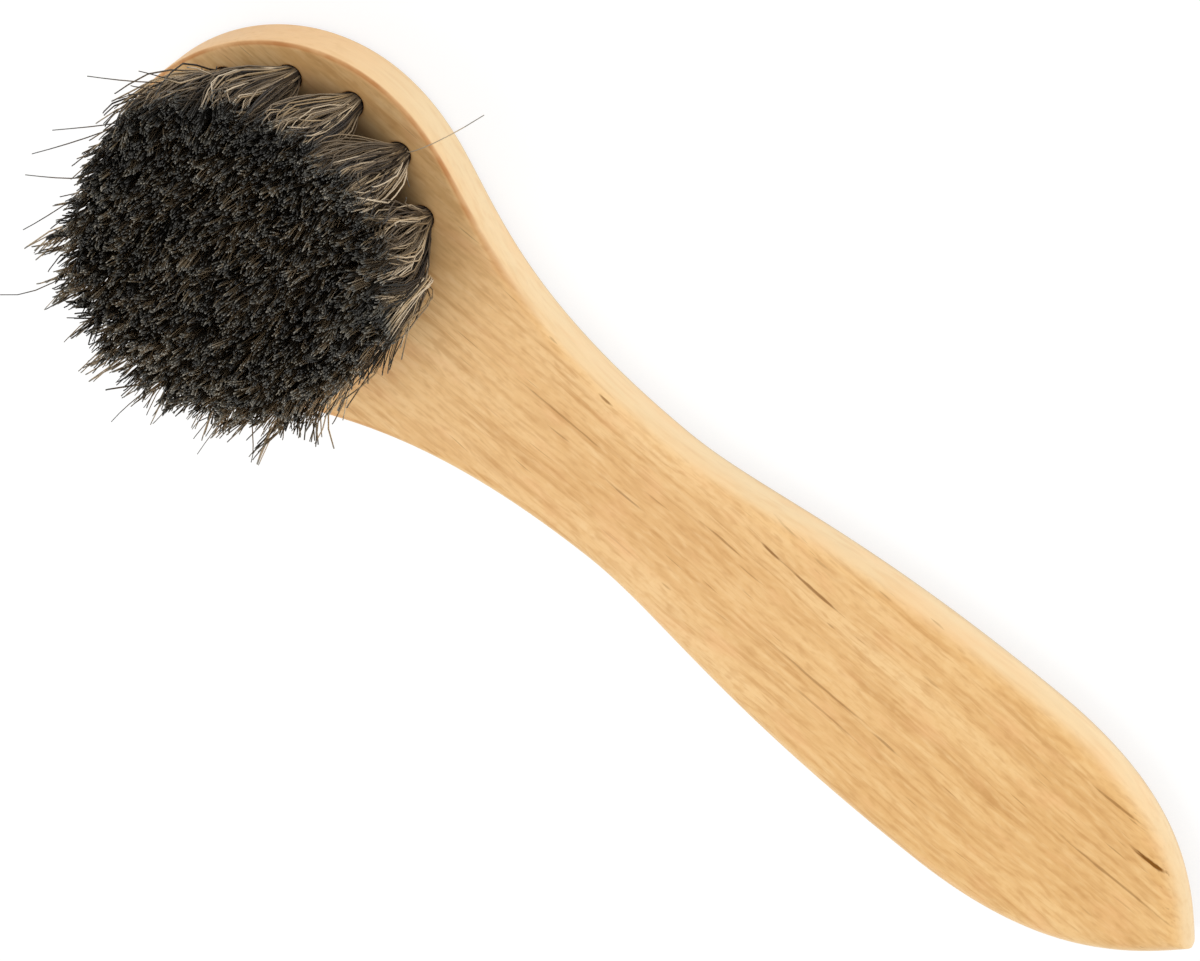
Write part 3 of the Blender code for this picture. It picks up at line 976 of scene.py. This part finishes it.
def add_strays(hole, roots, paths, shades):
    """Bends the outermost hairs of this tuft into the loose hairs on its side, and tells which."""
    centre = np.array([hole.centre.x - HEAD_X, hole.centre.y, THICKNESS]) / MM
    free = list(np.argsort(roots @ centre[:2]))
    bent = []
    for start, end, shade in STRAYS:
        angle = atan2(start[1], start[0]) - hole.angle
        if hole.ring != "outer" or abs(atan2(sin(angle), cos(angle))) > hole.half_angle:
            continue
        hair = free.pop()
        start, end = (Vector(np.array(point) - centre) for point in (start, end))
        root = Vector((*roots[hair], 0))
        upright = root + Vector((0, 0, start.z * STRAY_UPRIGHT))
        paths[hair] = interpolate_bezier(root, upright, start, end, len(HEIGHTS))
        shades[hair] = shade
        bent.append(hair)
    return bent


def folds(near):
    """The way of each folded hair through the hole, under the staple's crown."""
    side = near[:, 0]
    reach = FOLD_HALF_WIDTH + FOLD_WIDENING * side / BUNDLE_RADIUS
    low = FOLD_TOP - FOLD_REACH * side / BUNDLE_RADIUS
    squeezed = near[:, 1] * FOLD_SQUEEZE
    waist_height = np.full(len(near), WAIST_HEIGHT)
    waist = np.column_stack([(side + reach) / 2, near[:, 1] * WAIST_SQUEEZE, waist_height])
    steps = [waist]
    for turn in np.linspace(0, pi, FOLD_STEPS):
        height = FOLD_START + (low - FOLD_START) * sin(turn)
        steps.append(np.column_stack([reach * cos(turn), squeezed, height]))
    steps.append(waist * (-1, 1, 1))
    return np.stack(steps, axis=1)


def strand_corners(path, radius):
    """Four corners round each ring of each hair's path."""
    way = np.gradient(path, axis=1)
    way /= np.linalg.norm(way, axis=2, keepdims=True)
    first = np.cross(way, (0.0, 1.0, 0.0))
    first /= np.linalg.norm(first, axis=2, keepdims=True)
    second = np.cross(way, first)
    corners = []
    for corner in range(4):
        turn = tau * (corner + 0.5) / 4
        corners.append(path + radius[..., None] * (cos(turn) * first + sin(turn) * second))
    return np.stack(corners, axis=2)


# On the bake's map a hair runs up the strip of its shade: the row of the fold, the rows above it in the
# hole, the row of the mouth, and the rows of the cut ends
SHADES = 32
STRIP_EDGES = (0.2, 0.8)
FOLD_ROW = 0.01
ROWS_IN_HOLE = 0.12
MOUTH_ROW = 0.16
CUT_ROWS = (0.985, 0.998)


def strand_map(shade_pair, along, sides):
    """Where the corners of the hairs' sides and then of their cut ends lie on the map."""
    left, right = STRIP_EDGES
    strip = np.floor(shade_pair * SHADES) / SHADES
    across = strip[:, :, None] + np.array([left, right, left, right]) / SHADES
    up = np.broadcast_to(along[None, :, None], across.shape)
    side_map = np.stack([across, up], axis=-1).reshape(-1, 2)[sides].reshape(-1, 2)
    cap_strip = np.concatenate([strip[:, 0], strip[:, -1]])[:, None]
    cap_across = cap_strip + np.array([left, right, right, left]) / SHADES
    cap_up = np.broadcast_to(np.repeat(CUT_ROWS, 2), cap_across.shape)
    cap_map = np.stack([cap_across, cap_up], axis=-1).reshape(-1, 2)
    return np.concatenate([side_map, cap_map])


def strand_mesh(name, path, radius, shade_pair, along, material):
    """A mesh of four-sided hairs along their paths, with smooth sides and flat cut ends."""
    hairs, rings = path.shape[:2]
    points = strand_corners(path, radius).reshape(-1, 3) * MM
    index = np.arange(hairs * rings * 4).reshape(hairs, rings, 4)
    low, high = index[:, :-1], index[:, 1:]
    sides = np.stack([low, np.roll(low, -1, 2), np.roll(high, -1, 2), high], axis=-1).reshape(-1, 4)
    caps = np.concatenate([index[:, 0, ::-1], index[:, -1]])
    faces = np.concatenate([sides, caps])
    mesh = bpy.data.meshes.new(name)
    mesh.from_pydata(points, [], faces)
    layer = mesh.uv_layers.new(name="OFBake")
    layer.data.foreach_set("uv", strand_map(shade_pair, along, sides).astype(np.float32).ravel())
    smooth = np.ones(len(faces), bool)
    smooth[len(sides):] = False
    mesh.polygons.foreach_set("use_smooth", smooth)
    mesh.materials.append(material)
    mesh.update()
    return mesh


def whole_hairs(near, paths, shades):
    """Each whole hair's path from cut end to cut end, its shade and its row of the map at each point."""
    count = len(near)
    path = np.concatenate([paths[:count, ::-1], folds(near), paths[count:]], axis=1)
    rings = path.shape[1]
    standing = len(HEIGHTS)
    below = rings - 2 * standing
    along_up = MOUTH_ROW + (1 - MOUTH_ROW) * HEIGHTS
    along_below = np.abs(np.linspace(-1, 1, below)) * ROWS_IN_HOLE + FOLD_ROW
    along = np.concatenate([along_up[::-1], along_below, along_up])
    first_half = np.repeat(shades[:count, None], standing + below // 2, 1)
    second_half = np.repeat(shades[count:, None], rings - standing - below // 2, 1)
    return path, np.concatenate([first_half, second_half], axis=1), along


def make_tuft(hole, material, seed):
    rng = np.random.default_rng(seed)
    near, far = bundle_roots(hole, rng)
    roots = np.concatenate([near, far])
    paths, shades = Hairs(hole, roots, rng).paths_and_shades()
    strays = add_strays(hole, roots, paths, shades)
    path, shade_pair, along = whole_hairs(near, paths, shades)
    radius = np.interp(along, RADIUS_ROWS, (HAIR_RADIUS, TIP_RADIUS, CUT_RADIUS))
    thickness = rng.uniform(*THICKNESSES, (len(near), 1))
    thickness[np.array(strays, int) % len(near)] = STRAY_THICKNESS
    name = f"hair_{hole.name}"
    mesh = strand_mesh(name, path, radius[None, :] * thickness, shade_pair, along, material)
    mesh.transform(Matrix.Translation((hole.centre.x, hole.centre.y, THICKNESS)))
    tuft = place(name, mesh)
    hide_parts(f"tuft_{hole.name}")
    return tuft


HAIR_SHADES = (
    (0.00, (0.018, 0.013, 0.010)),
    (0.22, (0.060, 0.043, 0.0285)),
    (0.42, (0.150, 0.111, 0.072)),
    (0.62, (0.29, 0.219, 0.143)),
    (0.80, (0.50, 0.389, 0.254)),
    (1.00, (0.70, 0.567, 0.40)),
)
# Cut ends by the hair's shade, lighter than the dark tips: partly a painted highlight where they catch light
CUT_END_SHADES_WITH_HIGHLIGHT = (
    (0.00, (0.028, 0.0265, 0.024)),
    (0.35, (0.054, 0.053, 0.048)),
    (0.65, (0.098, 0.096, 0.085)),
    (0.85, (0.160, 0.152, 0.132)),
    (1.00, (0.28, 0.257, 0.212)),
)
TIP_DARK = (0.024, 0.0224, 0.0190)
# Painted shade on the hair at the hole's mouth
HAIR_ROOT_SHADOW = (0.024, 0.018, 0.014)
WARM_TINT = (1.0, 0.91, 0.74)
HAIR_ROUGHNESS = 0.5
HAIR_SPECULAR = 0.3

# Map rows where the dark tip, the root's painted shade and the lighter cut end start and are full
TIP_ROWS = (0.77, 0.955)
HAIR_ROOT_SHADOW_ROWS = (0.29, 0.16)
CUT_START_ROWS = (0.972, 0.980)

# How much later the dark tip starts on a light hair, and how much that differs from hair to hair
LIGHT_HAIR_DELAY = 0.09
UNEVEN_TIPS = 0.055
UNEVEN_SHARE = 0.382

# How dark the tips of middling and of the lightest hairs are, how dark the roots' painted shade, and which
# hairs are warm
TIP_SHADES = (0.5, 1.0)
TIP_SHARES = (0.95, 0.45)
HAIR_ROOT_SHADOW_SHARE = 0.75
WARM_START = 0.4
GOLDEN_SHARE = 0.618


def shuffled(nodes, step, share):
    """A number from 0 to 1 for each strip of the map, in no order."""
    return nodes.math("FRACT", nodes.times(step, share))


def hair_material():
    """Horsehair: its shade runs across the map, and the way from the fold to the cut end runs up it."""
    material, nodes = new_material("horsehair")
    map_place = nodes.add("ShaderNodeUVMap", {"uv_map": "OFBake"})
    split = nodes.add("ShaderNodeSeparateXYZ", Vector=map_place.outputs[0])
    step = nodes.math("FLOOR", nodes.times(split.outputs["X"], SHADES))
    shade = nodes.math("DIVIDE", step, SHADES - 1)
    along = split.outputs["Y"]
    uneven = nodes.remap(shuffled(nodes, step, UNEVEN_SHARE), 0.0, 1.0, -UNEVEN_TIPS, UNEVEN_TIPS)
    later = nodes.math("ADD", nodes.times(shade, LIGHT_HAIR_DELAY), uneven)
    near_tip = nodes.remap(nodes.math("SUBTRACT", along, later), *TIP_ROWS, smooth=True)
    tip_share = nodes.times(near_tip, nodes.remap(shade, *TIP_SHADES, *TIP_SHARES))
    colour = nodes.mix(tip_share, nodes.ramp(shade, HAIR_SHADES), TIP_DARK)
    # Painted shade on the hair at the hole's mouth
    colour = nodes.mix(nodes.remap(along, *HAIR_ROOT_SHADOW_ROWS, 0.0, HAIR_ROOT_SHADOW_SHARE, smooth=True), colour, HAIR_ROOT_SHADOW)
    # Cut ends lighter than the tips beside them: partly a painted highlight
    cut = nodes.remap(along, *CUT_START_ROWS)
    colour = nodes.mix(cut, colour, nodes.ramp(shade, CUT_END_SHADES_WITH_HIGHLIGHT))
    warm = nodes.remap(shuffled(nodes, step, GOLDEN_SHARE), WARM_START, 1.0)
    colour = nodes.mix(warm, colour, WARM_TINT, "MULTIPLY")
    nodes.principled(Base_Color=colour, Roughness=HAIR_ROUGHNESS, Specular_IOR_Level=HAIR_SPECULAR)
    return material


# Steel

STEEL_DARK = (0.42, 0.42, 0.41)
STEEL_BRIGHT = (0.66, 0.66, 0.64)
STEEL_ROUGHNESS = (0.25, 0.42)
DRAWN_SIZE = (0.15, 0.9)


def steel_material():
    material, nodes = new_material("drawn_steel_wire")
    where = nodes.add("ShaderNodeTexCoord").outputs["Object"]
    drawn = nodes.noise(nodes.stretched(where, *DRAWN_SIZE), detail=3)
    low, high = NOISE_SPAN
    colour = nodes.ramp(drawn, ((low, STEEL_DARK), (high, STEEL_BRIGHT)))
    roughness = nodes.remap(drawn, low, high, *STEEL_ROUGHNESS)
    nodes.principled(Base_Color=colour, Roughness=roughness, Metallic=1.0)
    return material


# Stage

WHITE = (1, 1, 1, 1)
PAPER_LIT = (0.80, 0.80, 0.80, 1)
PAPER_SHOWN = (0.25, 0.25, 0.25, 1)
PAPER_GLOW = 0.79
STUDIO_LIGHT = 0.76
FLOOR_HALF_SIZE = 3.0
FLOOR_HEIGHT = -0.0001

# Square lamps: the direction each shines from, and its power in watts
LAMP_DISTANCE = 1.0
LAMP_SIZE = 0.5
LAMPS = {
    "key": ((-0.20, -0.35, 0.90), 2.9),
    "rim": ((0.42, 0.88, 0.10), 3.8),
}


def seen_directly(nodes):
    """1 for what is seen straight, mirrored or through glass, and 0 for light that falls on the brush."""
    path = nodes.add("ShaderNodeLightPath").outputs
    mirrored = nodes.math("MAXIMUM", path["Is Glossy Ray"], path["Is Transmission Ray"])
    return nodes.math("MAXIMUM", path["Is Camera Ray"], mirrored)


def make_world():
    world = bpy.data.worlds.new("studio")
    world.use_nodes = True
    bpy.context.scene.world = world
    nodes = Nodes(world.node_tree)
    level = nodes.remap(seen_directly(nodes), 0, 1, STUDIO_LIGHT, 1.0)
    background = nodes.add("ShaderNodeBackground", Color=WHITE, Strength=level)
    nodes.add("ShaderNodeOutputWorld", Surface=background.outputs[0])


def paper_material():
    """Paper that looks white where it is seen, keeps its shadow and lights the brush no more than paper."""
    material, nodes = new_material("white_paper")
    lit = nodes.add("ShaderNodeBsdfDiffuse", Color=PAPER_LIT)
    shown = nodes.add("ShaderNodeBsdfDiffuse", Color=PAPER_SHOWN)
    glow = nodes.add("ShaderNodeEmission", Color=WHITE, Strength=PAPER_GLOW)
    both = nodes.add("ShaderNodeAddShader")
    nodes.feed(both.inputs[0], shown.outputs[0])
    nodes.feed(both.inputs[1], glow.outputs[0])
    mixed = nodes.add("ShaderNodeMixShader", Fac=seen_directly(nodes))
    nodes.feed(mixed.inputs[1], lit.outputs[0])
    nodes.feed(mixed.inputs[2], both.outputs[0])
    nodes.finish(mixed)
    return material


def make_floor():
    bm = bmesh.new()
    down = Matrix.Translation((0, 0, FLOOR_HEIGHT))
    bmesh.ops.create_grid(bm, x_segments=1, y_segments=1, size=FLOOR_HALF_SIZE, matrix=down)
    mesh = bpy.data.meshes.new("floor")
    bm.to_mesh(mesh)
    bm.free()
    mesh.materials.append(paper_material())
    place("floor", mesh)


def camera_axes():
    """The picture's right and up and the way back to the camera, as directions in the part's frame."""
    flat = cos(CAMERA_TILT)
    back = Vector((sin(CAMERA_YAW), sin(CAMERA_TILT) * cos(CAMERA_YAW), flat * cos(CAMERA_YAW)))
    level = (Vector((1, 0, 0)) - back * back.x).normalized()
    steep = back.cross(level)
    right = cos(CAMERA_ROLL) * level + sin(CAMERA_ROLL) * steep
    up = cos(CAMERA_ROLL) * steep - sin(CAMERA_ROLL) * level
    return right, up, back


def make_camera():
    right, up, back = camera_axes()
    pixel = SENSOR_WIDTH / CAMERA_LENS * CAMERA_DISTANCE / PHOTO_WIDTH
    aside = (PHOTO_WIDTH / 2 - HEAD_PIXEL[0]) * pixel
    above = (HEAD_PIXEL[1] - PHOTO_HEIGHT / 2) * pixel
    data = bpy.data.cameras.new("camera")
    data.lens = CAMERA_LENS
    data.sensor_width = SENSOR_WIDTH
    data.sensor_fit = "HORIZONTAL"
    camera = place("camera", data)
    where = Vector((HEAD_X, 0, 0)) + right * aside + up * above + back * CAMERA_DISTANCE
    camera.matrix_world = Matrix.Translation(where) @ Matrix((right, up, back)).transposed().to_4x4()
    bpy.context.scene.camera = camera


def make_lamps():
    """Square lamps that shine at the middle of the brush."""
    for name, (direction, power) in LAMPS.items():
        data = bpy.data.lights.new(name, "AREA")
        data.size = LAMP_SIZE
        data.energy = power
        lamp = place(name, data)
        towards = Vector(direction).normalized()
        lamp.location = towards * LAMP_DISTANCE
        lamp.rotation_euler = towards.to_track_quat("Z", "Y").to_euler()


def main():
    make_camera()
    make_world()
    make_floor()
    make_lamps()
    holes = list(find_holes())
    handle = make_handle(holes, beech_material())
    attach(handle, "root")
    hair = hair_material()
    steel = steel_material()
    for seed, hole in enumerate(holes):
        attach(make_tuft(hole, hair, seed), "root")
        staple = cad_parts[f"staple_{hole.name}"]
        staple.material_slots[0].material = steel
    bpy.context.scene.view_settings.view_transform = "Standard"


main()
